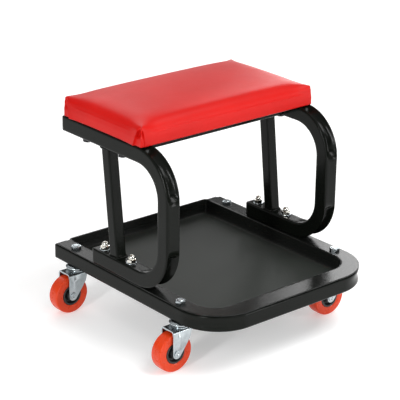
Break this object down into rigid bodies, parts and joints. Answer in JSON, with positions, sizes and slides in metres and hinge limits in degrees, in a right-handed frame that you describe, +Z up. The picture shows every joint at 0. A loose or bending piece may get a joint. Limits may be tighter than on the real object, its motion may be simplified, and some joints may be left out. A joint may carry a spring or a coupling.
{
  "type": "mechanic's creeper seat",
  "caption": "Rolling mechanic's seat: padded seat on two bent square-tube hoops over a tool tray, on a U-shaped base with swivel casters.",
  "frame": {"origin": "on the floor under the middle of the base: X = 0 midway between the side rails, Y = 0 at half the base's depth, Z = 0 at the wheels' lowest point", "axes": "+Z up, -Y towards the front (the closed end of the U-shaped base), X across between the two hoops"},
  "size_m": [0.3938, 0.401, 0.3801],
  "materials": {
    "frame_paint": "semi-gloss black powder coat",
    "plug_plastic": "moulded black plastic",
    "tray_plastic": "satin black moulded plastic with a fine texture",
    "plywood": "raw plywood",
    "foam": "open-cell foam",
    "red_vinyl": "smooth red vinyl",
    "black_bolt": "black oxide steel",
    "zinc": "bright zinc plate",
    "hub_plastic": "moulded black plastic",
    "orange_tread": "semi-gloss orange polyurethane"
  },
  "bodies": {
    "chair": {"base_frame": "frame_paint", "cross_bar": "frame_paint", "hoop_left": "frame_paint", "hoop_right": "frame_paint", "brace_left": "frame_paint", "brace_right": "frame_paint", "rail_plug_left": "plug_plastic", "rail_plug_right": "plug_plastic", "foot_plug_left": "plug_plastic", "foot_plug_right": "plug_plastic", "arm_plug_left": "plug_plastic", "arm_plug_right": "plug_plastic", "tray": "tray_plastic", "seat_board": "plywood", "seat_foam": "foam", "seat_cover": "red_vinyl", "seat_bolts": "black_bolt", "seat_washers": "black_bolt", "tee_nuts": "zinc", "hoop_bolts": "zinc", "hoop_washers": "zinc", "cap_nuts": "zinc", "stem_nuts": "zinc", "caster_stem_fl": "zinc", "caster_stem_fr": "zinc", "caster_stem_rl": "zinc", "caster_stem_rr": "zinc"},
    "swivel_fl": {"yoke_fl": "zinc", "ball_race_fl": "zinc", "axle_fl": "zinc", "bush_fl": "zinc"},
    "wheel_fl": {"wheel_hub_fl": "hub_plastic", "tread_fl": "orange_tread"},
    "swivel_fr": {"yoke_fr": "zinc", "ball_race_fr": "zinc", "axle_fr": "zinc", "bush_fr": "zinc"},
    "wheel_fr": {"wheel_hub_fr": "hub_plastic", "tread_fr": "orange_tread"},
    "swivel_rl": {"yoke_rl": "zinc", "ball_race_rl": "zinc", "axle_rl": "zinc", "bush_rl": "zinc"},
    "wheel_rl": {"wheel_hub_rl": "hub_plastic", "tread_rl": "orange_tread"},
    "swivel_rr": {"yoke_rr": "zinc", "ball_race_rr": "zinc", "axle_rr": "zinc", "bush_rr": "zinc"},
    "wheel_rr": {"wheel_hub_rr": "hub_plastic", "tread_rr": "orange_tread"}
  },
  "joints": [
    {"name": "swivel_turn_fl", "type": "hinge", "parent": "chair", "child": "swivel_fl", "pos_m": [-0.1633, -0.113, 0.068], "axis": [0, 0, 1], "continuous": true},
    {"name": "wheel_spin_fl", "type": "hinge", "parent": "swivel_fl", "child": "wheel_fl", "pos_m": [-0.1808, -0.113, 0.03175], "axis": [0, 1, 0], "continuous": true},
    {"name": "swivel_turn_fr", "type": "hinge", "parent": "chair", "child": "swivel_fr", "pos_m": [0.1633, -0.113, 0.068], "axis": [0, 0, 1], "continuous": true},
    {"name": "wheel_spin_fr", "type": "hinge", "parent": "swivel_fr", "child": "wheel_fr", "pos_m": [0.1458, -0.113, 0.03175], "axis": [0, 1, 0], "continuous": true},
    {"name": "swivel_turn_rl", "type": "hinge", "parent": "chair", "child": "swivel_rl", "pos_m": [-0.1633, 0.157, 0.068], "axis": [0, 0, 1], "continuous": true},
    {"name": "wheel_spin_rl", "type": "hinge", "parent": "swivel_rl", "child": "wheel_rl", "pos_m": [-0.1808, 0.157, 0.03175], "axis": [0, 1, 0], "continuous": true},
    {"name": "swivel_turn_rr", "type": "hinge", "parent": "chair", "child": "swivel_rr", "pos_m": [0.1633, 0.157, 0.068], "axis": [0, 0, 1], "continuous": true},
    {"name": "wheel_spin_rr", "type": "hinge", "parent": "swivel_rr", "child": "wheel_rr", "pos_m": [0.1458, 0.157, 0.03175], "axis": [0, 1, 0], "continuous": true}
  ]
}
